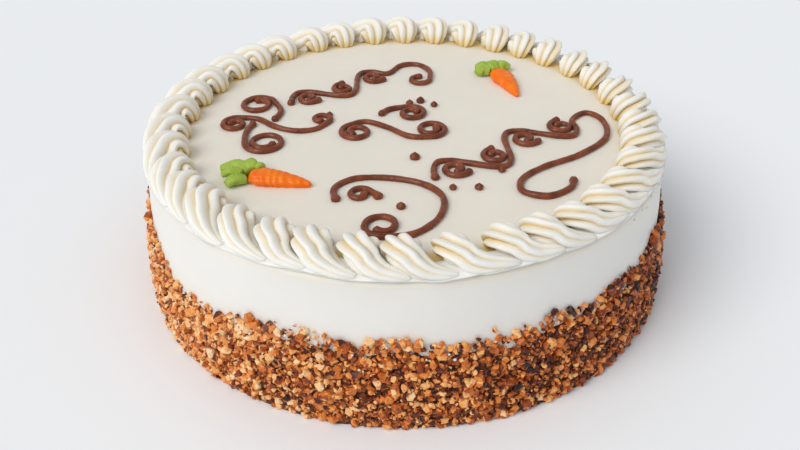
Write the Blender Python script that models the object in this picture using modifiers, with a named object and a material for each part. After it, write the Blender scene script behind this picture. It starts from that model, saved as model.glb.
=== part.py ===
"""Carrot cake: a tall round cake under white frosting, with a coat of chopped nuts round the foot,
a border of piped swirls, two piped carrots and a piped chocolate scroll on top.

Metres, +Z up. The origin is at the middle of the underside and the front of the cake faces -Y.
Touching pieces keep a small gap, so that no two solids overlap.
"""
import math

import bmesh
import bpy
from mathutils import Matrix, Vector, geometry

# The cake
CAKE_HEIGHT = 0.069
FOOT_RADIUS = 0.1214
RIM_RADIUS = 0.1196
RIM_ROUNDING = 0.0018
SLOPE_FOOT = 0.047  # the wall widens a little from the rim down to this height
CAKE_STEPS = 64
GAP = 0.0003

# The coat of chopped nuts
COAT_STEPS = 64
COAT_THICKNESS = 0.0042
COAT_HEIGHT = 0.0398
COAT_SHOULDER = 0.0010  # how much thinner the coat is near its upper edge
COAT_SPREAD = 0.0008  # how much thicker it is at the foot
COAT_LUMPS = 0.0007

# The piped border
SWIRL_COUNT = 38
SWIRL_PITCH = math.tau / SWIRL_COUNT
SWIRL_MIDDLE = 0.110
SWIRL_INNER = 0.1022
SWIRL_OUTER = 0.1184
SWIRL_SLANT = math.radians(45)
SWIRL_RIDGES = 7
RIDGE_DEPTH = 0.16

# The chocolate piping
LINE_RADIUS = 0.00135
LINE_STEP = 0.0048
CURL_SPACING = 0.0034
CURL_TIGHTEST = 0.0016
# Where a vine's curl springs: back from the stem's crossing, to its side, and its first straight run
CURL_BACK = 0.0042
CURL_ASIDE = 0.0038
CURL_LEAD = 0.0030
LINE_LEVEL = CAKE_HEIGHT + GAP + LINE_RADIUS

# The piped carrots: where the shoulder and the tip lie on top of the cake
CARROT_LEFT = (Vector((-0.0665, -0.0470)), Vector((-0.0400, -0.0525)))
CARROT_RIGHT = (Vector((0.0490, 0.0560)), Vector((0.0578, 0.0300)))


def clear_scene():
    for item in list(bpy.data.objects):
        bpy.data.objects.remove(item, do_unlink=True)


def collection(name):
    group = bpy.data.collections.new(name)
    bpy.context.scene.collection.children.link(group)
    return group


def material(name, colour, roughness):
    made = bpy.data.materials.new(name)
    made.use_nodes = True
    shader = made.node_tree.nodes["Principled BSDF"]
    shader.inputs["Base Color"].default_value = (*colour, 1.0)
    shader.inputs["Roughness"].default_value = roughness
    shader.inputs["Metallic"].default_value = 0.0
    return made


def mesh_object(name, shape, finish, group):
    """A mesh object that holds the bmesh `shape`."""
    bmesh.ops.recalc_face_normals(shape, faces=shape.faces)
    data = bpy.data.meshes.new(name)
    shape.to_mesh(data)
    shape.free()
    data.materials.append(finish)
    made = bpy.data.objects.new(name, data)
    group.objects.link(made)
    return made


def turned(name, profile, steps, finish, group):
    """A solid turned round Z from a profile of (radius, height) points, top to bottom."""
    data = bpy.data.meshes.new(name)
    points = [(radius, 0.0, height) for radius, height in profile]
    data.from_pydata(points, [(i, i + 1) for i in range(len(points) - 1)], [])
    data.materials.append(finish)
    made = bpy.data.objects.new(name, data)
    group.objects.link(made)
    screw = made.modifiers.new("Turn", "SCREW")
    screw.steps = steps
    screw.render_steps = steps
    screw.use_merge_vertices = True
    screw.merge_threshold = 0.00005
    screw.use_smooth_shade = False
    return made


def taken_as_bmesh(made):
    """The evaluated mesh of an object in world places, welded; the object itself is removed."""
    bpy.context.view_layer.update()
    graph = bpy.context.evaluated_depsgraph_get()
    data = bpy.data.meshes.new_from_object(made.evaluated_get(graph))
    shape = bmesh.new()
    shape.from_mesh(data)
    bmesh.ops.transform(shape, matrix=made.matrix_world, verts=shape.verts)
    bmesh.ops.remove_doubles(shape, verts=shape.verts, dist=0.00002)
    bpy.data.meshes.remove(data)
    bpy.data.objects.remove(made, do_unlink=True)
    return shape


def cut_flat(shape, point, normal):
    """Cut off what lies on the normal's side of a plane, and close the cut."""
    geom = shape.verts[:] + shape.edges[:] + shape.faces[:]
    cut = bmesh.ops.bisect_plane(shape, geom=geom, dist=0.000001, plane_co=point,
                                 plane_no=normal, clear_outer=True)
    rim = [item for item in cut["geom_cut"] if isinstance(item, bmesh.types.BMEdge)]
    bmesh.ops.holes_fill(shape, edges=rim, sides=0)


def polar(radius, angle, height=0.0):
    return Vector((radius * math.cos(angle), radius * math.sin(angle), height))


# ---------------------------------------------------------------- cake and nut coat

def make_cake(group):
    rounding = [(RIM_RADIUS - RIM_ROUNDING * (1 - math.sin(turn)),
                 CAKE_HEIGHT - RIM_ROUNDING * (1 - math.cos(turn)))
                for turn in (0, math.radians(45), math.radians(90))]
    profile = [(0, CAKE_HEIGHT)] + rounding + [(FOOT_RADIUS, SLOPE_FOOT), (FOOT_RADIUS, 0), (0, 0)]
    frosting = material("frosting_white", (0.80, 0.78, 0.72), 0.55)
    return turned("cake", profile, CAKE_STEPS, frosting, group)


def hump(angle, centre, width):
    """A smooth rise of 1 round one heading; centre and width are in degrees."""
    away = (math.degrees(angle) - centre + 180) % 360 - 180
    return math.exp(-(away / width) ** 2)


def coat_top(angle):
    """Height of the coat's ragged upper edge, which dips at the left and peaks beside the dip."""
    slow = 0.0040 * hump(angle, 180, 22) - 0.0075 * hump(angle, -136, 18) + 0.0038 * hump(angle, -111, 7)
    quick = 0.0014 * math.sin(11 * angle) + 0.0010 * math.sin(23 * angle + 1)
    return COAT_HEIGHT + slow + quick


def make_nut_coat(group):
    """A ring round the foot, rough outside and ragged at its upper edge."""
    inner = FOOT_RADIUS + GAP
    outer = inner + COAT_THICKNESS
    profile = [(inner, 1.0), (inner + 0.45 * COAT_THICKNESS, 1.0), (outer - COAT_SHOULDER, 0.80),
               (outer, 0.45), (outer + COAT_SPREAD, 0.0), (inner, 0.0), (inner, 1.0)]
    nuts = material("chopped_nuts", (0.45, 0.20, 0.07), 0.6)
    shape = taken_as_bmesh(turned("coat_ring", profile, COAT_STEPS, nuts, group))
    for vert in shape.verts:
        angle = math.atan2(vert.co.y, vert.co.x)
        radius = vert.co.xy.length
        lumps = math.sin(31 * angle + 9 * vert.co.z) * math.sin(17 * angle - 5 * vert.co.z)
        if radius > inner + 0.5 * COAT_THICKNESS:
            radius += COAT_LUMPS * lumps
        vert.co = polar(radius, angle, vert.co.z * coat_top(angle))
    return mesh_object("nut_coat", shape, nuts, group)


# ---------------------------------------------------------------- piped border

def seam_angle(index):
    """Angle of a seam between swirls, at the middle of the border."""
    return index * SWIRL_PITCH + math.radians(0.55 * math.sin(5.1 * index)
                                              + 0.35 * math.sin(2.3 * index + 1))


def seam_drift(radius):
    """How far round a seam has swept at this radius."""
    return math.tan(SWIRL_SLANT) * (radius - SWIRL_MIDDLE) / SWIRL_MIDDLE


def ridged_section(group):
    """The star-shaped opening of the piping nozzle, with a mean radius of 1."""
    data = bpy.data.curves.new("nozzle", "CURVE")
    data.dimensions = "2D"
    spline = data.splines.new("POLY")
    count = 2 * SWIRL_RIDGES
    spline.points.add(count - 1)
    for i, point in enumerate(spline.points):
        radius = 1 + RIDGE_DEPTH * (1 if i % 2 == 0 else -1)
        place = polar(radius, math.pi * i / SWIRL_RIDGES + 0.2)
        point.co = (*place, 1)
    spline.use_cyclic_u = True
    made = bpy.data.objects.new("nozzle", data)
    group.objects.link(made)
    made.hide_render = True
    return made


def ridged_bead(nozzle, stations, group):
    """A bead squeezed through the nozzle, as a bmesh: stations are (place, thickness)."""
    data = bpy.data.curves.new("bead", "CURVE")
    data.dimensions = "3D"
    data.bevel_mode = "OBJECT"
    data.bevel_object = nozzle
    data.use_fill_caps = True
    spline = data.splines.new("POLY")
    spline.points.add(len(stations) - 1)
    for point, (place, thickness) in zip(spline.points, stations):
        point.co = (*place, 1)
        point.radius = thickness
    made = bpy.data.objects.new("bead", data)
    group.objects.link(made)
    return taken_as_bmesh(made)


def make_swirl(index, nozzle, finish, group):
    """One swirl: a ridged bead that climbs from the inside and sweeps outward, cut at its seams."""
    start = seam_angle(index)
    width = seam_angle(index + 1) - start
    height = 1 + 0.05 * math.sin(3.7 * index)
    stations = []
    for share, lift, thickness in ((0.0, 0.0022, 0.0040), (0.14, 0.0034, 0.0070),
                                   (0.44, 0.0033, 0.0078), (0.78, 0.0010, 0.0068),
                                   (1.0, 0.0, 0.0034)):
        radius = SWIRL_INNER + share * (SWIRL_OUTER - SWIRL_INNER)
        angle = start + 0.5 * width + seam_drift(radius)
        stations.append((polar(radius, angle, CAKE_HEIGHT + lift * height), thickness * height))
    shape = ridged_bead(nozzle, stations, group)
    cut_flat(shape, Vector((0, 0, CAKE_HEIGHT + GAP)), Vector((0, 0, -1)))
    for angle, side in ((start, -1), (start + width, 1)):
        along = Matrix.Rotation(angle + SWIRL_SLANT, 3, "Z") @ Vector((1, 0, 0))
        across = Vector((-along.y, along.x, 0)) * side
        cut_flat(shape, polar(SWIRL_MIDDLE, angle) - across * GAP / 2, across)
    return mesh_object(f"swirl_{index + 1:02d}", shape, finish, group)


def make_border(nozzle, group):
    frosting = material("frosting_piped", (0.84, 0.81, 0.73), 0.5)
    for index in range(SWIRL_COUNT):
        make_swirl(index, nozzle, frosting, group)


# ---------------------------------------------------------------- chocolate piping

def smooth_line(points, step):
    """Evenly spaced points on the smooth curve through the given ones."""
    spots = [Vector(point) for point in points]
    ends = [2 * spots[0] - spots[1]] + spots + [2 * spots[-1] - spots[-2]]
    fine = []
    for before, start, end, after in zip(ends, ends[1:], ends[2:], ends[3:]):
        fine += geometry.interpolate_bezier(start, start + (end - before) / 6,
                                            end - (after - start) / 6, end, 24)[:-1]
    fine.append(spots[-1])
    length = sum((b - a).length for a, b in zip(fine, fine[1:]))
    count = max(2, round(length / step))
    spaced, walked, target = [fine[0]], 0.0, length / count
    for a, b in zip(fine, fine[1:]):
        run = (b - a).length
        while run > 0 and walked + run >= target - 1e-9 and len(spaced) < count:
            spaced.append(a.lerp(b, (target - walked) / run))
            target += length / count
        walked += run
    spaced.append(fine[-1])
    return spaced


def curl(start, heading, radius, turns, hand):
    """A spiral that leaves `start` along `heading` and winds inward; hand +1 turns left."""
    place = Vector(start)
    points = []
    steps = max(6, round(turns * 12))
    for i in range(steps):
        share = (i + 0.5) / steps
        now = max(radius - CURL_SPACING * turns * share, CURL_TIGHTEST)
        turn = math.tau * turns / steps
        heading += hand * turn / 2
        place = place + Vector((math.cos(heading), math.sin(heading))) * now * turn
        heading += hand * turn / 2
        points.append(place)
    return points


def heading_of(a, b):
    way = Vector(b) - Vector(a)
    return math.atan2(way.y, way.x)


def stroke(points, first=None, last=None):
    """A line through `points`, with a curl (radius, turns, hand) at either end."""
    spots = [Vector(point) for point in points]
    if last:
        spots += curl(spots[-1], heading_of(spots[-2], spots[-1]), *last)
    if first:
        spots = curl(spots[0], heading_of(spots[1], spots[0]), *first)[::-1] + spots
    return spots


def vine(start, end, waves, swing, curl_radius):
    """A waving stem from start to end, and one curl in each of its hollows."""
    start, end = Vector(start), Vector(end)
    along = (end - start).normalized()
    side = Vector((-along.y, along.x))
    pace = (end - start).length / waves
    bearing = math.atan2(along.y, along.x)
    stem = []
    for i in range(4 * waves + 1):
        wave = swing * math.sin(math.pi * i / 4)
        stem.append(start + along * pace * i / 4 + side * wave)
    curls = []
    for k in range(waves):
        up = 1 if k % 2 == 0 else -1
        root = start + along * (pace * (k + 1) - CURL_BACK) - side * up * CURL_ASIDE
        way = bearing + math.pi + up * math.radians(12)
        lead = root + Vector((math.cos(way), math.sin(way))) * CURL_LEAD
        curls.append(stroke([root, lead], last=(curl_radius, 1.30, -up)))
    return stem, curls


def scroll_strokes():
    """Every stroke of the scroll, as points on the top of the cake."""
    upper_stem, upper_curls = vine((-0.0560, 0.0230), (-0.0080, 0.0580), 3, 0.0090, 0.0054)
    lower_stem, lower_curls = vine((0.0130, -0.0500), (0.0800, 0.0030), 4, 0.0108, 0.0059)
    upper_tail = [(-0.0010, 0.0680), (0.0080, 0.0690), (0.0140, 0.0610), (0.0140, 0.0510)]
    lower_tail = [(0.0880, 0.0100), (0.0945, 0.0020), (0.0925, -0.0150), (0.0780, -0.0300),
                  (0.0610, -0.0400), (0.0500, -0.0500), (0.0490, -0.0600), (0.0590, -0.0640),
                  (0.0690, -0.0580), (0.0720, -0.0500)]
    strokes = [
        stroke([(-0.0790, 0.0095), (-0.0700, 0.0080), (-0.0610, 0.0000), (-0.0510, -0.0045),
                (-0.0420, -0.0030), (-0.0365, 0.0035)], first=(0.0065, 1.4, 1), last=(0.0050, 1.1, 1)),
        stroke([(-0.0625, 0.0060), (-0.0600, 0.0160), (-0.0640, 0.0260)], last=(0.0085, 1.3, 1)),
        stroke([(-0.0715, 0.0045), (-0.0740, -0.0050), (-0.0735, -0.0150)], last=(0.0092, 1.5, 1)),
        stroke([(-0.0285, -0.0660), (-0.0300, -0.0560), (-0.0220, -0.0485), (-0.0080, -0.0480),
                (0.0070, -0.0530), (0.0155, -0.0640), (0.0130, -0.0790), (0.0030, -0.0900),
                (-0.0080, -0.0915)], last=(0.0078, 1.2, -1)),
        stroke([(-0.0100, -0.0640), (-0.0150, -0.0580)], last=(0.0050, 1.1, 1)),
        stroke(upper_stem + upper_tail, last=(0.0056, 0.9, -1)),
        lower_stem + [Vector(point) for point in lower_tail],
        stroke([(-0.0250, 0.0010), (-0.0180, 0.0040), (-0.0080, -0.0020), (0.0020, -0.0110),
                (0.0110, -0.0120)], first=(0.0075, 1.5, 1), last=(0.0075, 1.5, 1)),
        stroke([(-0.0120, 0.0105), (-0.0070, 0.0165), (0.0010, 0.0190)], last=(0.0070, 1.4, -1)),
    ]
    return strokes + upper_curls + lower_curls


def make_scroll(group):
    chocolate = material("chocolate_piping", (0.13, 0.045, 0.028), 0.35)
    for number, points in enumerate(scroll_strokes(), 1):
        line = smooth_line(points, LINE_STEP)
        data = bpy.data.curves.new("line", "CURVE")
        data.dimensions = "3D"
        data.bevel_depth = LINE_RADIUS
        data.bevel_resolution = 1
        data.use_fill_caps = True
        spline = data.splines.new("POLY")
        spline.points.add(len(line) - 1)
        for place, point in zip(spline.points, line):
            place.co = (point.x, point.y, LINE_LEVEL, 1)
        made = bpy.data.objects.new("line", data)
        group.objects.link(made)
        mesh_object(f"scroll_{number:02d}", taken_as_bmesh(made), chocolate, group)


# ---------------------------------------------------------------- piped carrots

def carrot_root(name, shoulder, tip, nozzle, finish, group):
    """A tapering ridged bead that lies flat on the cake."""
    stations = []
    for share, lift, thickness in ((0.0, 0.0018, 0.0040), (0.12, 0.0016, 0.0054),
                                   (0.45, 0.0015, 0.0047), (0.80, 0.0013, 0.0030),
                                   (1.0, 0.0012, 0.0010)):
        place = shoulder.lerp(tip, share)
        stations.append((Vector((*place, CAKE_HEIGHT + lift)), thickness))
    shape = ridged_bead(nozzle, stations, group)
    cut_flat(shape, Vector((0, 0, CAKE_HEIGHT + GAP)), Vector((0, 0, -1)))
    return mesh_object(name, shape, finish, group)


def carrot_leaves(name, shoulder, tip, lobes, reach, finish, group):
    """A tuft of rounded lobes behind the shoulder, kept clear of the root."""
    back = (shoulder - tip).normalized()
    bearing = math.atan2(back.y, back.x)
    shape = bmesh.new()
    bmesh.ops.create_uvsphere(shape, u_segments=24, v_segments=6, radius=1.0)
    for vert in shape.verts:
        angle = math.atan2(vert.co.y, vert.co.x)
        lobe = 0.72 + 0.28 * math.cos(lobes * angle)
        flat = vert.co.xy.length * lobe
        place = Vector((flat * math.cos(angle) * reach, flat * math.sin(angle) * reach,
                        vert.co.z * 0.0032))
        place.rotate(Matrix.Rotation(bearing, 3, "Z"))
        centre = shoulder + back * (reach * 0.55 + 0.0012)
        vert.co = place + Vector((*centre, CAKE_HEIGHT + 0.0022))
    cut_flat(shape, Vector((0, 0, CAKE_HEIGHT + GAP)), Vector((0, 0, -1)))
    cut_flat(shape, Vector((*(shoulder + back * GAP), 0)), Vector((*(-back), 0)))
    return mesh_object(name, shape, finish, group)


def make_carrots(nozzle, group):
    orange = material("carrot_orange", (0.87, 0.19, 0.012), 0.35)
    green = material("carrot_green", (0.26, 0.45, 0.075), 0.4)
    carrot_root("carrot_root_left", *CARROT_LEFT, nozzle, orange, group)
    carrot_leaves("carrot_leaves_left", *CARROT_LEFT, 5, 0.0105, green, group)
    carrot_root("carrot_root_right", *CARROT_RIGHT, nozzle, orange, group)
    carrot_leaves("carrot_leaves_right", *CARROT_RIGHT, 5, 0.0095, green, group)


def main():
    clear_scene()
    parts = collection("carrot_cake")
    helpers = collection("cutters")
    make_cake(parts)
    make_nut_coat(parts)
    nozzle = ridged_section(helpers)
    make_border(nozzle, parts)
    make_scroll(parts)
    make_carrots(nozzle, parts)


main()
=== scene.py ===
"""Looks of the carrot cake: spread and piped frosting, chopped nuts, chocolate scrollwork, piped carrots.

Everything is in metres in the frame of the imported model, +Z up, with the front of the cake toward -Y.
"""
import math
import random

import bpy
from mathutils import Matrix, Vector, geometry, noise


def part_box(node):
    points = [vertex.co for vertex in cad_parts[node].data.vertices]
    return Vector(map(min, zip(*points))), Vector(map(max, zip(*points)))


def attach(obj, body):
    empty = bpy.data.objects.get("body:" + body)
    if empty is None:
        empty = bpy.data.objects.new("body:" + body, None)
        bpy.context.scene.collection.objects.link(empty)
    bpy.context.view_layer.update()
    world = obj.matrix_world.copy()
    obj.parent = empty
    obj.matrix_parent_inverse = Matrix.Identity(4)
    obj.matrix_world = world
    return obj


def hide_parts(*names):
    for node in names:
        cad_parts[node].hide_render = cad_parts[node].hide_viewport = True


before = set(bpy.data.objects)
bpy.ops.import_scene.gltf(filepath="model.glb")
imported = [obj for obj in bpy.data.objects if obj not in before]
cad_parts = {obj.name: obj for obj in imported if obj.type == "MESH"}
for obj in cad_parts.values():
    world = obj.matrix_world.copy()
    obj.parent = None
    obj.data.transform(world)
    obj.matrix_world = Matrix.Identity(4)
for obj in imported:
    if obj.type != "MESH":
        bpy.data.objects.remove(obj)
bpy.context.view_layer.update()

# The cake
CAKE_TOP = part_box("cake")[1][2]
FOOT_RADIUS = 0.1214
RIM_RADIUS = 0.1196
RIM_ROUNDING = 0.0022
CORE_RADIUS = 0.1206

# The border
SWIRL_COUNT = 38
SWIRL_PITCH = math.tau / SWIRL_COUNT
RIDGES = 7

# The chocolate piping
LINE_RADIUS = 0.00135
CURL_SPACING = 0.0034
CURL_TIGHTEST = 0.0016
# Where a vine's curl springs: back from the stem's crossing, to its side, and its first straight run
CURL_BACK = 0.0042
CURL_ASIDE = 0.0038
CURL_LEAD = 0.0030

# The carrots: where the shoulder and the tip lie on top of the cake
CARROT_LEFT = (Vector((-0.0665, -0.0470)), Vector((-0.0400, -0.0525)))
CARROT_RIGHT = (Vector((0.0490, 0.0560)), Vector((0.0578, 0.0300)))

# The nuts
COAT_HEIGHT = 0.0398

# The camera and the light
CAMERA_PLACE = (-0.00226, -0.37798, 0.27098)
CAMERA_LOOKS_DOWN = math.radians(31.15)
CAMERA_ROLL = -0.0131
LIGHT_HEADING = math.radians(-142)
LIGHT_ELEVATION = math.radians(46)


# ---------------------------------------------------------------- modelling helpers

def polar(radius, angle, height=0.0):
    return Vector((radius * math.cos(angle), radius * math.sin(angle), height))


def smooth_step(low, high, value):
    """0 up to `low`, 1 from `high` on; the other way round where high is under low."""
    share = min(1.0, max(0.0, (value - low) / (high - low)))
    return share * share * (3 - 2 * share)


def mix(a, b, share):
    return a + (b - a) * share


def let_go():
    """Nothing selected, so that an operator acts on the new piece alone."""
    if bpy.context.object and bpy.context.object.mode != "OBJECT":
        bpy.ops.object.mode_set(mode="OBJECT")
    bpy.ops.object.select_all(action="DESELECT")


def sheet_to_surface(name, columns, rows, place, merge=0.00002, painted_shade_at=None):
    """A grid laid over a surface: place(u, v) gives the point at each share of the way across.

    The optional function of (u, v) gives each point's share of painted warm shade.
    """
    let_go()
    bpy.ops.mesh.primitive_grid_add(x_subdivisions=columns, y_subdivisions=rows, size=1.0)
    piece = bpy.context.object
    piece.name = name
    piece.data.name = name
    if painted_shade_at:
        point_values(piece, "painted_warm_shade", lambda flat: painted_shade_at(flat.x + 0.5, flat.y + 0.5))
    for vert in piece.data.vertices:
        vert.co = place(vert.co.x + 0.5, vert.co.y + 0.5)
    bpy.ops.object.mode_set(mode="EDIT")
    bpy.ops.mesh.select_all(action="SELECT")
    bpy.ops.mesh.remove_doubles(threshold=merge)
    bpy.ops.mesh.normals_make_consistent(inside=False)
    bpy.ops.object.mode_set(mode="OBJECT")
    bpy.ops.object.shade_smooth()
    return piece


def point_values(piece, name, value_at):
    """A number on every vertex, which the piece's material reads."""
    values = piece.data.attributes.new(name, "FLOAT", "POINT")
    for vert, slot in zip(piece.data.vertices, values.data):
        slot.value = value_at(vert.co)


def finish_piece(piece, finish, slot, *nodes):
    piece.data.materials.clear()
    piece.data.materials.append(finish)
    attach(piece, "root")
    if nodes:
        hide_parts(*nodes)
    return piece


def joined(name, pieces):
    """Several pieces made one."""
    let_go()
    for piece in pieces:
        piece.select_set(True)
    bpy.context.view_layer.objects.active = pieces[0]
    bpy.ops.object.join()
    pieces[0].name = name
    pieces[0].data.name = name
    return pieces[0]


class Route:
    """A smooth line in space, read by its share of the length."""

    def __init__(self, points):
        self.points = [Vector(point) for point in points]
        self.marks = [0.0]
        for a, b in zip(self.points, self.points[1:]):
            self.marks.append(self.marks[-1] + (b - a).length)
        self.length = self.marks[-1]

    def at(self, share):
        target = share * self.length
        low = 0
        while low < len(self.marks) - 2 and self.marks[low + 1] < target:
            low += 1
        run = self.marks[low + 1] - self.marks[low]
        return self.points[low].lerp(self.points[low + 1], (target - self.marks[low]) / run)

    def along(self, share):
        step = 0.6 / len(self.points)
        return (self.at(min(1, share + step)) - self.at(max(0, share - step))).normalized()


def smooth_line(points, step):
    """Evenly spaced points on the smooth curve through the given ones."""
    spots = [Vector(point) for point in points]
    ends = [2 * spots[0] - spots[1]] + spots + [2 * spots[-1] - spots[-2]]
    fine = []
    for before, start, end, after in zip(ends, ends[1:], ends[2:], ends[3:]):
        fine += geometry.interpolate_bezier(start, start + (end - before) / 6,
                                            end - (after - start) / 6, end, 24)[:-1]
    fine.append(spots[-1])
    route = Route(fine)
    count = max(2, round(route.length / step))
    return [route.at(i / count) for i in range(count + 1)]


# ---------------------------------------------------------------- shader helpers

def new_material(name):
    made = bpy.data.materials.new(name)
    made.use_nodes = True
    nodes = made.node_tree.nodes
    return made, nodes, made.node_tree.links, nodes["Principled BSDF"]


def ramp(nodes, stops, interpolation="LINEAR"):
    """A colour ramp through (place, colour) stops."""
    node = nodes.new("ShaderNodeValToRGB")
    node.color_ramp.interpolation = interpolation
    elements = node.color_ramp.elements
    while len(elements) < len(stops):
        elements.new(0.5)
    for element, (place, colour) in zip(elements, stops):
        element.position = place
        element.color = (*colour, 1)
    return node


def srgb(red, green, blue):
    """A colour named on the 0 to 255 scale, as scene-linear light."""
    def linear(value):
        value /= 255
        return value / 12.92 if value <= 0.04045 else ((value + 0.055) / 1.055) ** 2.4
    return (linear(red), linear(green), linear(blue))


def new_group(name, inputs, outputs):
    group = bpy.data.node_groups.new(name, "ShaderNodeTree")
    for label, kind, value in inputs:
        socket = group.interface.new_socket(label, in_out="INPUT", socket_type=kind)
        if value is not None:
            socket.default_value = value
    for label, kind in outputs:
        group.interface.new_socket(label, in_out="OUTPUT", socket_type=kind)
    return group, group.nodes.new("NodeGroupInput"), group.nodes.new("NodeGroupOutput")


def make_soft_relief():
    """Broad unevenness and a fine grain, as one normal."""
    group, given, out = new_group(
        "soft_relief",
        [("Broad Scale", "NodeSocketFloat", 60.0), ("Broad Depth", "NodeSocketFloat", 0.0003),
         ("Fine Scale", "NodeSocketFloat", 900.0), ("Fine Depth", "NodeSocketFloat", 0.00004)],
        [("Normal", "NodeSocketVector"), ("Broad", "NodeSocketFloat")])
    nodes, links = group.nodes, group.links
    coordinates = nodes.new("ShaderNodeTexCoord")
    normal = None
    for label, detail in (("Broad", 3.0), ("Fine", 4.0)):
        clouds = nodes.new("ShaderNodeTexNoise")
        clouds.inputs["Detail"].default_value = detail
        links.new(coordinates.outputs["Object"], clouds.inputs["Vector"])
        links.new(given.outputs[f"{label} Scale"], clouds.inputs["Scale"])
        bump = nodes.new("ShaderNodeBump")
        bump.inputs["Strength"].default_value = 1.0
        links.new(given.outputs[f"{label} Depth"], bump.inputs["Distance"])
        links.new(clouds.outputs["Fac"], bump.inputs["Height"])
        if normal:
            links.new(normal, bump.inputs["Normal"])
        else:
            links.new(clouds.outputs["Fac"], out.inputs["Broad"])
        normal = bump.outputs["Normal"]
    links.new(normal, out.inputs["Normal"])
    return group


def make_tone_drift():
    """A colour that drifts toward a second one in soft patches."""
    group, given, out = new_group(
        "tone_drift",
        [("Colour", "NodeSocketColor", (0.8, 0.8, 0.8, 1)),
         ("Other", "NodeSocketColor", (0.6, 0.6, 0.6, 1)),
         ("Scale", "NodeSocketFloat", 30.0), ("Amount", "NodeSocketFloat", 0.5)],
        [("Colour", "NodeSocketColor")])
    nodes, links = group.nodes, group.links
    coordinates = nodes.new("ShaderNodeTexCoord")
    clouds = nodes.new("ShaderNodeTexNoise")
    clouds.inputs["Detail"].default_value = 3.0
    links.new(coordinates.outputs["Object"], clouds.inputs["Vector"])
    links.new(given.outputs["Scale"], clouds.inputs["Scale"])
    spread = nodes.new("ShaderNodeMapRange")
    spread.inputs["From Min"].default_value = 0.35
    spread.inputs["From Max"].default_value = 0.70
    links.new(clouds.outputs["Fac"], spread.inputs["Value"])
    share = nodes.new("ShaderNodeMath")
    share.operation = "MULTIPLY"
    links.new(spread.outputs["Result"], share.inputs[0])
    links.new(given.outputs["Amount"], share.inputs[1])
    blend = nodes.new("ShaderNodeMix")
    blend.data_type = "RGBA"
    links.new(share.outputs["Value"], blend.inputs["Factor"])
    links.new(given.outputs["Colour"], blend.inputs["A"])
    links.new(given.outputs["Other"], blend.inputs["B"])
    links.new(blend.outputs["Result"], out.inputs["Colour"])
    return group


SOFT_RELIEF = make_soft_relief()
TONE_DRIFT = make_tone_drift()


def use_group(nodes, group, **values):
    node = nodes.new("ShaderNodeGroup")
    node.node_tree = group
    for label, value in values.items():
        node.inputs[label.replace("_", " ")].default_value = value
    return node


def frosting_finish(name, colour, other, painted_shade_colour=None):
    made, nodes, links, shader = new_material(name)
    shader.inputs["Roughness"].default_value = 0.5
    shader.inputs["Subsurface Weight"].default_value = 0.45
    shader.inputs["Subsurface Radius"].default_value = (1.0, 0.88, 0.66)
    shader.inputs["Subsurface Scale"].default_value = 0.0036
    shader.inputs["Specular IOR Level"].default_value = 0.35
    relief = use_group(nodes, SOFT_RELIEF, Broad_Scale=55.0, Broad_Depth=0.00035,
                       Fine_Scale=700.0, Fine_Depth=0.00003)
    links.new(relief.outputs["Normal"], shader.inputs["Normal"])
    drift = use_group(nodes, TONE_DRIFT, Colour=(*colour, 1), Other=(*other, 1), Scale=26.0, Amount=0.6)
    result = drift.outputs["Colour"]
    # Base colour mixed toward the warm colour by a per-vertex value: painted warm shade in creases and
    # hollows, and a warmer top on the cake.
    if painted_shade_colour:
        painted_warm_shade = nodes.new("ShaderNodeAttribute")
        painted_warm_shade.attribute_name = "painted_warm_shade"
        blend = nodes.new("ShaderNodeMix")
        blend.data_type = "RGBA"
        blend.inputs["B"].default_value = (*painted_shade_colour, 1)
        links.new(painted_warm_shade.outputs["Fac"], blend.inputs["Factor"])
        links.new(result, blend.inputs["A"])
        result = blend.outputs["Result"]
    links.new(result, shader.inputs["Base Color"])
    return made


def icing_finish(name, colour, other, rough, gloss, broad_depth=0.0003):
    made, nodes, links, shader = new_material(name)
    shader.inputs["Roughness"].default_value = rough
    shader.inputs["Specular IOR Level"].default_value = 0.25
    shader.inputs["Coat Weight"].default_value = gloss
    shader.inputs["Coat Roughness"].default_value = 0.14
    relief = use_group(nodes, SOFT_RELIEF, Broad_Scale=420.0, Broad_Depth=broad_depth,
                       Fine_Scale=2200.0, Fine_Depth=0.00003)
    links.new(relief.outputs["Normal"], shader.inputs["Normal"])
    drift = use_group(nodes, TONE_DRIFT, Colour=(*colour, 1), Other=(*other, 1), Scale=170.0, Amount=0.8)
    links.new(drift.outputs["Colour"], shader.inputs["Base Color"])
    return made


# ---------------------------------------------------------------- the frosted cake

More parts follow.
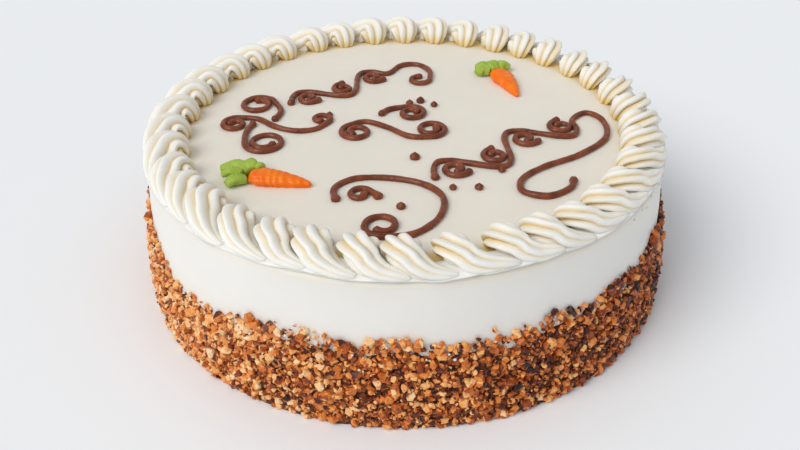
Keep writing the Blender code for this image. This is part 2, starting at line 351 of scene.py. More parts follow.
def make_cake():
    """A turned body with a soft rim and slightly uneven faces."""
    rounding = [(RIM_RADIUS - RIM_ROUNDING * (1 - math.sin(math.radians(turn))),
                 CAKE_TOP - RIM_ROUNDING * (1 - math.cos(math.radians(turn))))
                for turn in range(0, 91, 15)]
    rings = (0, 0.02, 0.1, 0.2, 0.3, 0.4, 0.5, 0.6, 0.7, 0.78, 0.83, 0.85, 0.87, 0.89, 0.94)
    profile = [(RIM_RADIUS * share, CAKE_TOP) for share in rings]
    profile += rounding
    profile += [(mix(RIM_RADIUS, FOOT_RADIUS, share), mix(CAKE_TOP - 0.004, 0.031, share))
                for share in (0, 0.2, 0.4, 0.6, 0.8, 1)]
    profile += [(CORE_RADIUS, 0.026), (CORE_RADIUS, 0.013), (CORE_RADIUS, 0.0),
                (CORE_RADIUS * 0.5, 0.0), (0, 0)]
    rows = len(profile) - 1

    def place(u, v):
        radius, height = profile[round(v * rows)]
        angle = math.tau * u
        spot = polar(radius, angle, height)
        if height > 0.001 and radius > 0:
            wave = noise.noise(Vector((spot.x * 14, spot.y * 14, spot.z * 30))) * 0.0005
            ripple = noise.noise(Vector((spot.x * 55, spot.y * 55, spot.z * 90))) * 0.00018
            if height < CAKE_TOP - RIM_ROUNDING:
                spot += polar(wave + ripple, angle)
            else:
                spot.z += (wave + ripple) * 0.5
        return spot

    piece = sheet_to_surface("frosted_cake", 288, rows, place)

    # Painted warm shade under the border's heads, where the gaps between them show, and a faint one low on
    # the wall where the nuts shade it; the top is tinted a little warmer too.
    def painted_shade_and_warm_top(spot):
        top = 0.16 * smooth_step(CAKE_TOP - 0.006, CAKE_TOP, spot.z)
        reach = math.hypot(spot.x, spot.y)
        under_border = 0.7 * smooth_step(0.0995, 0.1045, reach) * smooth_step(0.1165, 0.1130, reach)
        return top + under_border * (spot.z > 0.9 * CAKE_TOP) + 0.08 * smooth_step(0.046, 0.040, spot.z)

    point_values(piece, "painted_warm_shade", painted_shade_and_warm_top)
    return finish_piece(piece, SPREAD_FROSTING, "frosting", "cake")


# ---------------------------------------------------------------- the piped border

def seam_angle(index):
    """Angle of a seam between swirls, at the middle of the border."""
    return index * SWIRL_PITCH + math.radians(0.55 * math.sin(5.1 * index)
                                              + 0.35 * math.sin(2.3 * index + 1))


def lip_level(angle):
    """Height of the border's outer lip, which wanders up and down round the cake."""
    slow = 0.0022 * math.cos(angle + math.radians(60))
    return CAKE_TOP - 0.0008 + slow + 0.0006 * math.sin(9 * angle) + 0.0004 * math.sin(23 * angle + 1)


def make_border_foot():
    """The thin squashed foot of the border, which hangs a little over the wall."""
    def place(u, v):
        angle = math.tau * u
        turn = math.tau * v
        level = lip_level(angle)
        reach = 0.0007 * noise.noise(Vector((14 * math.cos(angle), 14 * math.sin(angle), 0.3)))
        outer = RIM_RADIUS + 0.0006 + reach
        thick = 0.0009 + 0.0003 * noise.noise(Vector((9 * math.cos(angle), 9 * math.sin(angle), 4)))
        radius = outer - 0.0055 + 0.0055 * math.cos(turn)
        rise = 0.0012 * (1 - math.cos(turn)) * 0.5
        return polar(radius, angle, level + thick * math.sin(turn) + rise)

    piece = sheet_to_surface("border_foot", 456, 14, place)
    # The foot gets no painted warm shade.
    point_values(piece, "painted_warm_shade", lambda spot: 0.0)
    return finish_piece(piece, PIPED_FROSTING, "piped_frosting")


def pleat(turn):
    """How far up a band lies at this turn round the bead: 0 at the bottom of a fold, 1 on a crest."""
    share = (turn * RIDGES / math.tau) % 1.0
    return 1 - abs(2 * share ** 0.86 - 1) ** 1.7


def make_swirl(index):
    """One swirl: a pleated bead that rises at the inside, rolls over and sweeps along the rim."""
    dice = random.Random(500 + index)
    start = seam_angle(index)
    width = seam_angle(index + 1) - start
    size = 1 + dice.uniform(-0.06, 0.05)
    phase = dice.uniform(-0.35, 0.35)
    twist = dice.uniform(0.60, 1.10)
    lean = dice.uniform(-0.08, 0.08)
    depth_of_head = dice.uniform(0.36, 0.46)
    seed = Vector((index * 3.1, 0, 0))
    # radius from the cake's middle, share of a pitch round the border, height, half width, half height
    stations = [(0.1024, 0.42, -0.0010, 0.0034, 0.0026),
                (0.1028, 0.42, 0.0024, 0.0064, 0.0040),
                (0.1044, 0.44, 0.0054, 0.0080, 0.0054),
                (0.1070, 0.49, 0.0062, 0.0087, 0.0060),
                (0.1098, 0.59, 0.0050, 0.0085, 0.0058),
                (0.1126, 0.77, 0.0026, 0.0074, 0.0048),
                (0.1148, 1.02, 0.0008, 0.0056, 0.0036),
                (0.1166, 1.32, -0.0003, 0.0039, 0.0025),
                (0.1178, 1.62, -0.0009, 0.0018, 0.0012)]
    spots, sizes = [], []
    for radius, share, lift, half_width, half_height in stations:
        angle = start + (share + lean) * width
        sink = smooth_step(0.7, 1.5, share) * (lip_level(angle) - CAKE_TOP + 0.0006)
        spots.append(polar(radius, angle, CAKE_TOP + lift * size + sink))
        sizes.append(Vector((half_width * size, half_height * size, 0)))
    route = Route(smooth_line(spots, 0.0006))
    girth = Route(smooth_line([Vector((i * 0.01, s.x, s.y)) for i, s in enumerate(sizes)], 0.0005))

    def place(u, v):
        middle = route.at(v)
        along = route.along(v)
        outward = polar(1, math.atan2(middle.y, middle.x))
        across = along.cross(Vector((0, 0, 0.8)) - outward * 0.6).normalized()
        rise = across.cross(along).normalized()
        here = girth.at(v)
        turn = math.tau * u
        depth = mix(depth_of_head, 0.12, smooth_step(0.20, 0.95, v))
        swell = 1 - depth * (1 - pleat(turn + phase + twist * v))
        swell += 0.06 * noise.noise(middle * 130 + Vector((math.cos(turn), math.sin(turn), 0)) + seed)
        closing = math.sqrt(max(0.0, 1 - (1 - min(v, 0.05) / 0.05) ** 2))
        if v > 0.97:
            closing = math.sqrt(max(0.0, 1 - ((v - 0.97) / 0.03) ** 2))
        offset = across * math.cos(turn) * here.y + rise * math.sin(turn) * here.z
        return middle + offset * swell * closing

    # Painted warm shade: in the pleats' creases, fading toward the tail, on the bead's sides over its first
    # part, and strongest at its inner end.
    def painted_shade_at(u, v):
        turn = math.tau * u
        hollow = 1 - pleat(turn + phase + twist * v)
        flank = smooth_step(0.75, 1.0, abs(math.cos(turn))) * smooth_step(0.45, 0.15, v)
        return min(1.0, hollow ** 1.8 * mix(1.0, 0.2, v) + 0.4 * flank + 0.75 * smooth_step(0.16, 0.04, v))

    piece = sheet_to_surface(f"piped_swirl_{index + 1:02d}", RIDGES * 12, 44, place, merge=0.00001,
                             painted_shade_at=painted_shade_at)
    return finish_piece(piece, PIPED_FROSTING, "piped_frosting", f"swirl_{index + 1:02d}")


# ---------------------------------------------------------------- the chocolate scrollwork

def curl(start, heading, radius, turns, hand):
    """A spiral that leaves `start` along `heading` and winds inward; hand +1 turns left."""
    place = Vector(start)
    points = []
    steps = max(6, round(turns * 12))
    for i in range(steps):
        share = (i + 0.5) / steps
        now = max(radius - CURL_SPACING * turns * share, CURL_TIGHTEST)
        turn = math.tau * turns / steps
        heading += hand * turn / 2
        place = place + Vector((math.cos(heading), math.sin(heading))) * now * turn
        heading += hand * turn / 2
        points.append(place)
    return points


def heading_of(a, b):
    way = Vector(b) - Vector(a)
    return math.atan2(way.y, way.x)


def stroke(points, first=None, last=None):
    """A line through `points`, with a curl (radius, turns, hand) at either end."""
    spots = [Vector(point) for point in points]
    if last:
        spots += curl(spots[-1], heading_of(spots[-2], spots[-1]), *last)
    if first:
        spots = curl(spots[0], heading_of(spots[1], spots[0]), *first)[::-1] + spots
    return spots


def vine(start, end, waves, swing, curl_radius):
    """A waving stem from start to end, and one curl in each of its hollows."""
    start, end = Vector(start), Vector(end)
    along = (end - start).normalized()
    side = Vector((-along.y, along.x))
    pace = (end - start).length / waves
    bearing = math.atan2(along.y, along.x)
    stem = []
    for i in range(4 * waves + 1):
        wave = swing * math.sin(math.pi * i / 4)
        stem.append(start + along * pace * i / 4 + side * wave)
    curls = []
    for k in range(waves):
        up = 1 if k % 2 == 0 else -1
        root = start + along * (pace * (k + 1) - CURL_BACK) - side * up * CURL_ASIDE
        way = bearing + math.pi + up * math.radians(12)
        lead = root + Vector((math.cos(way), math.sin(way))) * CURL_LEAD
        curls.append(stroke([root, lead], last=(curl_radius, 1.30, -up)))
    return stem, curls


def scroll_strokes():
    """Every stroke of the scroll, as points on the top of the cake."""
    upper_stem, upper_curls = vine((-0.0560, 0.0230), (-0.0080, 0.0580), 3, 0.0090, 0.0054)
    lower_stem, lower_curls = vine((0.0130, -0.0500), (0.0800, 0.0030), 4, 0.0108, 0.0059)
    upper_tail = [(-0.0010, 0.0680), (0.0080, 0.0690), (0.0140, 0.0610), (0.0140, 0.0510)]
    lower_tail = [(0.0880, 0.0100), (0.0945, 0.0020), (0.0925, -0.0150), (0.0780, -0.0300),
                  (0.0610, -0.0400), (0.0500, -0.0500), (0.0490, -0.0600), (0.0590, -0.0640),
                  (0.0690, -0.0580), (0.0720, -0.0500)]
    strokes = [
        stroke([(-0.0790, 0.0095), (-0.0700, 0.0080), (-0.0610, 0.0000), (-0.0510, -0.0045),
                (-0.0420, -0.0030), (-0.0365, 0.0035)], first=(0.0065, 1.4, 1), last=(0.0050, 1.1, 1)),
        stroke([(-0.0625, 0.0060), (-0.0600, 0.0160), (-0.0640, 0.0260)], last=(0.0085, 1.3, 1)),
        stroke([(-0.0715, 0.0045), (-0.0740, -0.0050), (-0.0735, -0.0150)], last=(0.0092, 1.5, 1)),
        stroke([(-0.0285, -0.0660), (-0.0300, -0.0560), (-0.0220, -0.0485), (-0.0080, -0.0480),
                (0.0070, -0.0530), (0.0155, -0.0640), (0.0130, -0.0790), (0.0030, -0.0900),
                (-0.0080, -0.0915)], last=(0.0078, 1.2, -1)),
        stroke([(-0.0100, -0.0640), (-0.0150, -0.0580)], last=(0.0050, 1.1, 1)),
        stroke(upper_stem + upper_tail, last=(0.0056, 0.9, -1)),
        lower_stem + [Vector(point) for point in lower_tail],
        stroke([(-0.0250, 0.0010), (-0.0180, 0.0040), (-0.0080, -0.0020), (0.0020, -0.0110),
                (0.0110, -0.0120)], first=(0.0075, 1.5, 1), last=(0.0075, 1.5, 1)),
        stroke([(-0.0120, 0.0105), (-0.0070, 0.0165), (0.0010, 0.0190)], last=(0.0070, 1.4, -1)),
    ]
    return strokes + upper_curls + lower_curls


def make_stroke(number, points):
    """One squeezed line of chocolate: flat below, uneven in width, with a blob at either end."""
    flat = [Vector((point.x, point.y, 0)) for point in points]
    route = Route(smooth_line(flat, 0.0008))
    rows = round(route.length / 0.0009)
    seed = Vector((number * 7.7, 0, 0))
    blob = 0.0022 / route.length

    def place(u, v):
        middle = route.at(v)
        along = route.along(v)
        across = Vector((-along.y, along.x, 0))
        turn = math.tau * u
        width = LINE_RADIUS * (1.05 + 0.16 * noise.noise(middle * 150 + seed))
        near_end = min(v, 1 - v) / blob
        width *= 1 + 0.38 * math.exp(-(near_end - 0.9) ** 2 / 0.5)
        if near_end < 0.75:
            width *= math.sqrt(max(0.0, 1 - (1 - near_end / 0.75) ** 2))
        ridge = 1 + 0.07 * math.cos(6 * turn + 0.6 + 3.0 * noise.noise(middle * 60 + seed))
        ridge += 0.06 * noise.noise(middle * 420 + Vector((math.cos(turn), math.sin(turn), 0)) + seed)
        height = math.sin(turn)
        side = across * math.cos(turn) * width * ridge
        level = CAKE_TOP - 0.0002 + LINE_RADIUS * 0.86
        lift = width * ridge * (height if height > 0 else max(height, -0.82)) * 0.92
        return middle + side + Vector((0, 0, level + lift))

    piece = sheet_to_surface(f"chocolate_stroke_{number:02d}", 16, rows, place, merge=0.00001)
    return finish_piece(piece, CHOCOLATE, "chocolate", f"scroll_{number:02d}")


def make_drop(x, y, radius):
    """One drop with a small tip where the nozzle left it."""
    def place(u, v):
        turn, fall = math.tau * u, math.pi * v
        seed = Vector((x * 900 + math.cos(turn), y * 900, math.sin(turn)))
        swell = radius * (1 + 0.10 * noise.noise(seed)) * math.sin(fall)
        tip = 0.35 * radius * math.exp(-(fall / 0.35) ** 2)
        height = 0.0008 + 0.72 * radius * max(math.cos(fall), -0.6) + tip
        return Vector((x + swell * math.cos(turn), y + swell * math.sin(turn), CAKE_TOP + height))

    return sheet_to_surface("drop", 20, 14, place, merge=0.00001)


def make_drops():
    """Single drops of chocolate beside the strokes."""
    drops = [make_drop(*drop) for drop in (
        (0.0045, -0.0300, 0.0024), (0.0030, 0.0235, 0.0019), (0.0085, 0.0260, 0.0022),
        (0.0150, 0.0215, 0.0018), (-0.0360, 0.0120, 0.0017), (-0.0020, -0.0700, 0.0020),
        (0.0200, -0.0560, 0.0017), (0.0420, -0.0420, 0.0018), (0.0310, -0.0560, 0.0019))]
    return finish_piece(joined("chocolate_drops", drops), CHOCOLATE, "chocolate")


def make_scroll():
    for number, points in enumerate(scroll_strokes(), 1):
        make_stroke(number, points)
    make_drops()


# ---------------------------------------------------------------- the piped carrots

def make_bead(name, spots, sizes, ridges, depth, seed_value, rows=60, columns=60, ripple=0.0):
    """A squeezed bead along spots, with (half width, half height) sizes, that sits on the cake."""
    route = Route(smooth_line(spots, 0.0004))
    girth = Route(smooth_line([Vector((i * 0.01, *size)) for i, size in enumerate(sizes)], 0.0005))
    seed = Vector((seed_value, 0, 0))

    def place(u, v):
        middle = route.at(v)
        along = route.along(v)
        level = Vector((along.x, along.y, 0)).normalized()
        across = Vector((-level.y, level.x, 0))
        rise = across.cross(along) * -1
        if rise.z < 0:
            rise = -rise
        here = girth.at(v)
        turn = math.tau * u
        swell = 1 - depth * (1 - abs(math.sin(0.5 * ridges * turn + 1.2 * v)) ** 0.7)
        swell += ripple * math.sin(55 * v + 2.2 * math.sin(turn) + 3 * noise.noise(middle * 120 + seed))
        swell += 0.08 * noise.noise(middle * 260 + Vector((math.cos(turn), math.sin(turn), 0)) * 1.3 + seed)
        closing = 1.0
        if v < 0.06:
            closing = math.sqrt(max(0.0, 1 - (1 - v / 0.06) ** 2))
        if v > 0.95:
            closing = math.sqrt(max(0.0, 1 - ((v - 0.95) / 0.05) ** 2))
        offset = across * math.cos(turn) * here.y + rise * max(math.sin(turn), -0.75) * here.z
        return middle + offset * swell * closing

    return sheet_to_surface(name, columns, rows, place, merge=0.00001)


def carrot_frame(shoulder, tip):
    way = (tip - shoulder).normalized()
    return way, Vector((-way.y, way.x))


def make_carrot(side, shoulder, tip, lobes):
    """A ripply orange root and a tuft of green lobes at its shoulder."""
    way, across = carrot_frame(shoulder, tip)
    length = (tip - shoulder).length

    def spot(along, over, height):
        flat = shoulder + way * along + across * over
        return Vector((flat.x, flat.y, CAKE_TOP + height))

    spots = [spot(length * share, bend, height) for share, bend, height in
             ((-0.02, 0, 0.0018), (0.15, 0.0002, 0.0021), (0.40, 0.0004, 0.0020), (0.70, 0.0001, 0.0017),
              (0.90, -0.0004, 0.0014), (1.02, -0.0006, 0.0011))]
    sizes = [(0.0036, 0.0024), (0.0055, 0.0033), (0.0052, 0.0033), (0.0041, 0.0029), (0.0027, 0.0022),
             (0.0010, 0.0012)]
    root = make_bead(f"orange_root_{side}", spots, sizes, 7, 0.10, 4.0, rows=90, columns=72, ripple=0.035)
    finish_piece(root, ORANGE_ICING, "carrot_orange", f"carrot_root_{side}")
    leaves = []
    for k, (points, girths) in enumerate(lobes):
        leaves.append(make_bead(f"leaf_{side}_{k}", [spot(*point) for point in points], girths, 4, 0.16,
                                9.0 + k, rows=36, columns=32, ripple=0.03))
    tuft = joined(f"green_leaves_{side}", leaves)
    finish_piece(tuft, GREEN_ICING, "carrot_green", f"carrot_leaves_{side}")


def make_carrots():
    left_lobes = [
        ([(-0.0010, 0.0020, 0.0020), (-0.0060, 0.0050, 0.0036), (-0.0100, 0.0050, 0.0034),
          (-0.0150, 0.0036, 0.0020)],
         [(0.0026, 0.0020), (0.0034, 0.0026), (0.0028, 0.0022), (0.0018, 0.0014)]),
        ([(-0.0010, -0.0020, 0.0018), (-0.0050, -0.0050, 0.0030), (-0.0078, -0.0085, 0.0020)],
         [(0.0026, 0.0018), (0.0030, 0.0026), (0.0020, 0.0016)]),
        ([(0.0000, 0.0030, 0.0030), (-0.0020, 0.0070, 0.0038), (-0.0040, 0.0110, 0.0022)],
         [(0.0024, 0.0020), (0.0034, 0.0026), (0.0026, 0.0018)]),
        ([(0.0010, 0.0036, 0.0036), (0.0020, 0.0068, 0.0034), (0.0030, 0.0088, 0.0018)],
         [(0.0018, 0.0014), (0.0024, 0.0020), (0.0018, 0.0014)]),
        ([(-0.0030, -0.0010, 0.0036), (-0.0080, -0.0010, 0.0044), (-0.0120, -0.0020, 0.0026)],
         [(0.0024, 0.0016), (0.0030, 0.0022), (0.0018, 0.0014)]),
    ]
    right_lobes = [
        ([(-0.0010, -0.0030, 0.0020), (-0.0030, -0.0070, 0.0030), (-0.0010, -0.0100, 0.0022)],
         [(0.0024, 0.0018), (0.0032, 0.0026), (0.0024, 0.0018)]),
        ([(-0.0010, 0.0020, 0.0022), (-0.0040, 0.0050, 0.0034), (-0.0020, 0.0090, 0.0022)],
         [(0.0026, 0.0020), (0.0034, 0.0026), (0.0022, 0.0018)]),
        ([(0.0000, 0.0000, 0.0026), (-0.0050, 0.0000, 0.0040), (-0.0080, 0.0010, 0.0022)],
         [(0.0026, 0.0020), (0.0036, 0.0028), (0.0024, 0.0018)]),
        ([(-0.0010, -0.0020, 0.0030), (-0.0060, -0.0050, 0.0038), (-0.0085, -0.0080, 0.0020)],
         [(0.0024, 0.0018), (0.0030, 0.0024), (0.0020, 0.0016)]),
    ]
    make_carrot("left", *CARROT_LEFT, left_lobes)
    make_carrot("right", *CARROT_RIGHT, right_lobes)


# ---------------------------------------------------------------- the chopped nuts

def hump(angle, centre, width):
    """A smooth rise of 1 round one heading; centre and width are in degrees."""
    away = (math.degrees(angle) - centre + 180) % 360 - 180
    return math.exp(-(away / width) ** 2)


def coat_top(angle):
    """Height of the coat's ragged upper edge, which dips at the left and peaks beside the dip."""
    slow = 0.0040 * hump(angle, 180, 22) - 0.0075 * hump(angle, -136, 18) + 0.0038 * hump(angle, -111, 7)
    quick = 0.0014 * math.sin(11 * angle) + 0.0010 * math.sin(23 * angle + 1)
    return COAT_HEIGHT + slow + quick


def make_nut_core():
    """The crumb-covered ring that the nuts are pressed into."""
    profile = [(CORE_RADIUS - 0.0004, 0.89), (CORE_RADIUS + 0.0010, 0.87), (CORE_RADIUS + 0.0018, 0.78),
               (CORE_RADIUS + 0.0026, 0.60), (CORE_RADIUS + 0.0030, 0.40), (CORE_RADIUS + 0.0032, 0.20),
               (CORE_RADIUS + 0.0033, 0.0), (CORE_RADIUS - 0.0004, 0.0), (CORE_RADIUS - 0.0004, 0.89)]
    fine = []
    for (r0, z0), (r1, z1) in zip(profile, profile[1:]):
        fine += [(mix(r0, r1, i / 4), mix(z0, z1, i / 4)) for i in range(4)]
    fine.append(profile[-1])
    rows = len(fine) - 1

    def place(u, v):
        radius, share = fine[round(v * rows)]
        angle = math.tau * u
        height = share * coat_top(angle)
        if radius > CORE_RADIUS:
            radius += 0.0006 * noise.noise(polar(60, angle, height * 500))
        return polar(radius, angle, height)

    piece = sheet_to_surface("nut_bed", 720, rows, place)

    # Painted side shade, partly darker roasting: 1 toward the right, away from the light, 0 toward the
    # left.
    def painted_side_shade_and_roast(spot):
        return 0.5 + 0.5 * math.cos(math.atan2(spot.y, spot.x) - math.radians(20))

    point_values(piece, "painted_side_shade_and_roast", painted_side_shade_and_roast)
    return finish_piece(piece, NUT_CRUMBS_AND_GAP_SHADE, "nuts", "nut_coat")


def nut_shapes(dice, count, squash):
    """Broken nut shapes: a ball of few faces, squashed and snapped flat on one or two sides."""
    shapes = []
    for _ in range(count):
        let_go()
        bpy.ops.mesh.primitive_ico_sphere_add(subdivisions=1, radius=1.0)
        chunk = bpy.context.object
        for vert in chunk.data.vertices:
            vert.co *= dice.uniform(0.80, 1.15)
        bpy.ops.object.mode_set(mode="EDIT")
        for _ in range(dice.choice((1, 2, 2))):
            bpy.ops.mesh.select_all(action="SELECT")
            way = Vector((dice.uniform(-1, 1), dice.uniform(-1, 1), dice.uniform(-1, 1))).normalized()
            bpy.ops.mesh.bisect(plane_co=way * dice.uniform(0.25, 0.6), plane_no=way, use_fill=True,
                                clear_outer=True)
        bpy.ops.object.mode_set(mode="OBJECT")
        stretch = (dice.uniform(0.9, 1.35), dice.uniform(0.75, 1.0), squash * dice.uniform(0.8, 1.2))
        verts = [Vector((v.co.x * stretch[0], v.co.y * stretch[1], v.co.z * stretch[2]))
                 for v in chunk.data.vertices]
        faces = [tuple(polygon.vertices) for polygon in chunk.data.polygons]
        shapes.append((verts, faces))
        data = chunk.data
        bpy.data.objects.remove(chunk)
        bpy.data.meshes.remove(data)
    return shapes


def nut_spots(dice, count, sizes, depth, tones, edge_reach, height_bias):
    """Where each nut is pressed into the wall: (middle, angle, size, tone)."""
    spots = []
    for _ in range(count):
        angle = dice.uniform(0, math.tau)
        top = coat_top(angle) + 0.0028 * noise.noise(polar(16, angle, 2))
        height = 0.0006 + dice.random() ** height_bias * (top - 0.0006)
        if dice.random() < edge_reach:
            height = top + abs(dice.gauss(0, 0.0020))
        size = dice.uniform(*sizes) / 2
        bulk = smooth_step(0, 0.55, 1 - height / max(top, 0.001))
        radius = CORE_RADIUS + 0.0006 + mix(0.0008, depth, bulk) * dice.uniform(0.55, 1.0)
        # Painted side shade, partly darker roasting: nuts darker toward the right, away from the light,
        # lighter toward the left.
        painted_side_shade_and_roast = 0.03 + 0.17 * math.cos(angle - math.radians(15))
        middle = polar(radius, angle, max(height, size * 0.7))
        spots.append((middle, angle, size, dice.choice(tones) - painted_side_shade_and_roast))
    return spots


def crumb_spots(dice, count):
    """Where crumbs of frosting cling: under the border at the right, and a few on the nuts."""
    spots = []
    for k in range(count):
        if k % 3:
            angle = math.radians(dice.gauss(-18, 9))
            height = lip_level(angle) - abs(dice.gauss(0.0012, 0.0022))
            radius = mix(RIM_RADIUS, FOOT_RADIUS, (CAKE_TOP - height) / 0.022)
        else:
            angle = dice.uniform(0, math.tau)
            height = coat_top(angle) * dice.uniform(0.55, 1.0)
            radius = CORE_RADIUS + 0.0024
        spots.append((polar(radius, angle, height), angle, dice.uniform(0.0003, 0.0008), 0.0))
    return spots


def press_in(name, dice, shapes, spots, finish, slot):
    """Copies of the shapes at the spots, as one mesh with a tone for every face."""
    verts, faces, tone_of_face = [], [], []
    for middle, angle, size, base in spots:
        facing = Matrix.Rotation(angle, 3, "Z") @ Matrix.Rotation(math.pi / 2, 3, "Y")
        tilt = Matrix.Rotation(dice.gauss(0, 0.8), 3, "X") @ Matrix.Rotation(dice.gauss(0, 0.8), 3, "Y")
        turn = facing @ tilt @ Matrix.Rotation(dice.uniform(0, math.tau), 3, "Z")
        shape_verts, shape_faces = dice.choice(shapes)
        first = len(verts)
        for vert in shape_verts:
            spot = turn @ (vert * size) + middle
            spot.z = max(spot.z, 0.0001)
            verts.append(spot)
        base += dice.gauss(0, 0.04)
        skin = turn @ Vector((dice.uniform(-1, 1), dice.uniform(-1, 1), dice.uniform(-1, 1))).normalized()
        for face in shape_faces:
            normal = turn @ geometry.normal([shape_verts[i] for i in face])
            dark = 0.28 if normal.dot(skin) > 0.45 else 0.0
            faces.append(tuple(first + i for i in face))
            tone_of_face.append(min(1.0, max(0.0, base - dark + dice.gauss(0, 0.04))))
    data = bpy.data.meshes.new(name)
    data.from_pydata(verts, [], faces)
    tone = data.attributes.new("tone", "FLOAT", "FACE")
    tone.data.foreach_set("value", tone_of_face)
    piece = bpy.data.objects.new(name, data)
    bpy.context.scene.collection.objects.link(piece)
    let_go()
    bpy.context.view_layer.objects.active = piece
    piece.select_set(True)
    bpy.ops.object.mode_set(mode="EDIT")
    bpy.ops.mesh.select_all(action="SELECT")
    bpy.ops.mesh.normals_make_consistent(inside=False)
    bpy.ops.object.mode_set(mode="OBJECT")
    return finish_piece(piece, finish, slot)


def nut_finish(name, stops, rough):
    """Roasted nut: pale flesh and darker skin by the nut's tone, which also carries painted side shade,
    with fine grain.
    """
    made, nodes, links, shader = new_material(name)
    shader.inputs["Roughness"].default_value = rough
    shader.inputs["Specular IOR Level"].default_value = 0.35
    shader.inputs["Coat Weight"].default_value = 0.12
    shader.inputs["Coat Roughness"].default_value = 0.22
    tone = nodes.new("ShaderNodeAttribute")
    tone.attribute_name = "tone"
    coordinates = nodes.new("ShaderNodeTexCoord")
    grain = nodes.new("ShaderNodeTexNoise")
    grain.inputs["Scale"].default_value = 620.0
    grain.inputs["Detail"].default_value = 3.0
    links.new(coordinates.outputs["Object"], grain.inputs["Vector"])
    shift = nodes.new("ShaderNodeMath")
    shift.operation = "MULTIPLY_ADD"
    shift.inputs[1].default_value = 0.40
    links.new(grain.outputs["Fac"], shift.inputs[0])
    lower = nodes.new("ShaderNodeMath")
    lower.operation = "SUBTRACT"
    lower.inputs[1].default_value = 0.21
    links.new(tone.outputs["Fac"], lower.inputs[0])
    links.new(lower.outputs["Value"], shift.inputs[2])
    colours = ramp(nodes, stops)
    links.new(shift.outputs["Value"], colours.inputs["Fac"])
    links.new(colours.outputs["Color"], shader.inputs["Base Color"])
    relief = use_group(nodes, SOFT_RELIEF, Broad_Scale=900.0, Broad_Depth=0.0004,
                       Fine_Scale=3000.0, Fine_Depth=0.0001)
    links.new(relief.outputs["Normal"], shader.inputs["Normal"])
    return made


def crumb_and_shade_finish(name, stops):
    """Fine crumbs between the nuts: broken colour and strong relief, with painted shade in the gaps and
    painted side shade toward the right.
    """
    made, nodes, links, shader = new_material(name)
    shader.inputs["Roughness"].default_value = 0.75
    coordinates = nodes.new("ShaderNodeTexCoord")
    cells = nodes.new("ShaderNodeTexVoronoi")
    cells.inputs["Scale"].default_value = 750.0
    links.new(coordinates.outputs["Object"], cells.inputs["Vector"])
    split = nodes.new("ShaderNodeSeparateColor")
    links.new(cells.outputs["Color"], split.inputs["Color"])
    # Darker toward the right by the per-vertex value: painted side shade, partly darker roasting.
    painted_side_shade_and_roast = nodes.new("ShaderNodeAttribute")
    painted_side_shade_and_roast.attribute_name = "painted_side_shade_and_roast"
    darker = nodes.new("ShaderNodeMath")
    darker.operation = "MULTIPLY_ADD"
    darker.inputs[1].default_value = -0.6
    links.new(painted_side_shade_and_roast.outputs["Fac"], darker.inputs[0])
    links.new(split.outputs["Red"], darker.inputs[2])
    colours = ramp(nodes, stops)
    links.new(darker.outputs["Value"], colours.inputs["Fac"])
    links.new(colours.outputs["Color"], shader.inputs["Base Color"])
    bump = nodes.new("ShaderNodeBump")
    bump.inputs["Distance"].default_value = 0.0010
    links.new(cells.outputs["Distance"], bump.inputs["Height"])
    links.new(bump.outputs["Normal"], shader.inputs["Normal"])
    return made


def make_nuts():
    dice = random.Random(77)
    make_nut_core()
    chunks = nut_shapes(dice, 12, 0.80)
    chips = nut_shapes(dice, 8, 0.42)
    flesh = (0.36, 0.46, 0.55, 0.62, 0.70, 0.80, 0.50, 0.22)
    for name, shapes, count, sizes, depth, edge_reach, height_bias in (
            ("chopped_nuts_large", chunks, 2200, (0.0034, 0.0060), 0.0028, 0.045, 1.05),
            ("chopped_nuts_medium", chunks, 5000, (0.0020, 0.0036), 0.0036, 0.05, 1.15),
            ("chopped_nuts_fine", chips, 4800, (0.0010, 0.0021), 0.0036, 0.07, 1.10)):
        spots = nut_spots(dice, count, sizes, depth, flesh, edge_reach, height_bias)
        press_in(name, dice, shapes, spots, NUT_FLESH, "nuts")
    press_in("frosting_crumbs", dice, chunks, crumb_spots(dice, 160), SPREAD_FROSTING, "frosting")


# ---------------------------------------------------------------- stage, camera and light

def make_stage():
    let_go()
    bpy.ops.mesh.primitive_plane_add(size=16.0, location=(0, 0, -0.0002))
    floor = bpy.context.object
    floor.name = "pale_floor"
    made, _, _, shader = new_material("pale_floor")
    shader.inputs["Base Color"].default_value = (0.935, 0.955, 0.98, 1)
    shader.inputs["Roughness"].default_value = 0.9
    shader.inputs["Specular IOR Level"].default_value = 0.1
    floor.data.materials.append(made)


def make_camera():
    data = bpy.data.cameras.new("camera")
    data.sensor_width = 36.0
    data.lens = 40.61
    data.shift_y = -0.063
    data.clip_start = 0.01
    camera = bpy.data.objects.new("camera", data)
    bpy.context.scene.collection.objects.link(camera)
    tilt = Matrix.Rotation(math.pi / 2 - CAMERA_LOOKS_DOWN, 4, "X")
    roll = Matrix.Rotation(CAMERA_ROLL, 4, "Z")
    camera.matrix_world = Matrix.Translation(CAMERA_PLACE) @ tilt @ roll
    bpy.context.scene.camera = camera


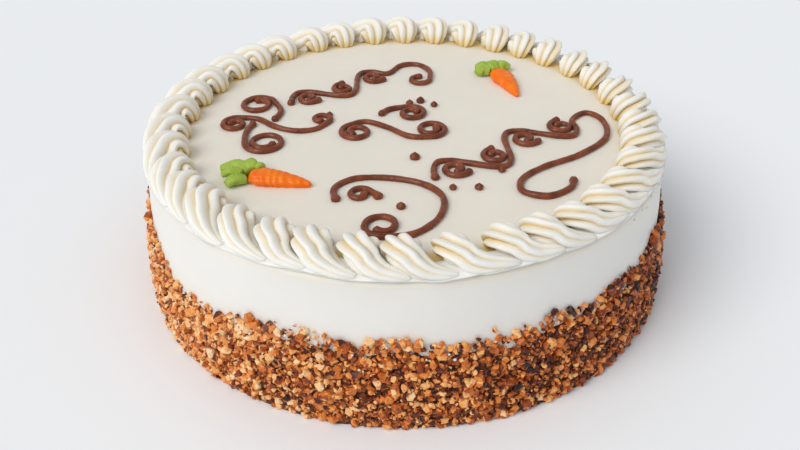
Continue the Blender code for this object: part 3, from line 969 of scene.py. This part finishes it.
def make_light():
    scene = bpy.context.scene
    world = bpy.data.worlds.new("studio")
    scene.world = world
    world.use_nodes = True
    background = world.node_tree.nodes["Background"]
    background.inputs["Color"].default_value = (0.96, 0.98, 1.0, 1)
    background.inputs["Strength"].default_value = 0.53
    data = bpy.data.lights.new("window", "SUN")
    data.energy = 1.60
    data.angle = math.radians(38)
    data.color = (1.0, 0.985, 0.96)
    window = bpy.data.objects.new("window", data)
    scene.collection.objects.link(window)
    toward = -polar(math.cos(LIGHT_ELEVATION), LIGHT_HEADING, math.sin(LIGHT_ELEVATION))
    window.rotation_euler = toward.to_track_quat("-Z", "Y").to_euler()
    scene.view_settings.view_transform = "Standard"


# Warm yellow painted into the frosting's creases and hollows as painted shade.
WARM_SHADE_PAINT = srgb(232, 200, 120)
SPREAD_FROSTING = frosting_finish("spread_frosting", (0.88, 0.865, 0.83), (0.85, 0.835, 0.79), WARM_SHADE_PAINT)
PIPED_FROSTING = frosting_finish("piped_frosting", (0.93, 0.915, 0.87), (0.91, 0.895, 0.84), WARM_SHADE_PAINT)
CHOCOLATE = icing_finish("milk_chocolate", srgb(140, 72, 42), srgb(88, 36, 18), 0.32, 0.16, 0.0006)
ORANGE_ICING = icing_finish("orange_icing", srgb(255, 130, 6), srgb(246, 102, 0), 0.30, 0.14)
GREEN_ICING = icing_finish("green_icing", srgb(172, 196, 80), srgb(136, 168, 44), 0.34, 0.10)
NUT_STOPS = [(0.0, srgb(36, 8, 1)), (0.18, srgb(92, 28, 4)), (0.36, srgb(172, 78, 20)),
             (0.54, srgb(234, 138, 58)), (0.72, srgb(252, 190, 116)), (1.0, srgb(254, 230, 188))]
NUT_FLESH = nut_finish("roasted_nuts", NUT_STOPS, 0.4)
# The crumb bed's browns: crumb colour, with the darkest stops also standing in as painted shade in the gaps
# between the nuts.
NUT_CRUMBS_AND_GAP_SHADE = crumb_and_shade_finish("nut_crumbs_and_painted_gap_shade", [(0.0, srgb(52, 16, 3)), (0.35, srgb(128, 56, 16)),
                                         (0.7, srgb(206, 122, 56)), (1.0, srgb(242, 186, 122))])

make_cake()
make_border_foot()
for swirl_index in range(SWIRL_COUNT):
    make_swirl(swirl_index)
make_scroll()
make_carrots()
make_nuts()
make_stage()
make_camera()
make_light()
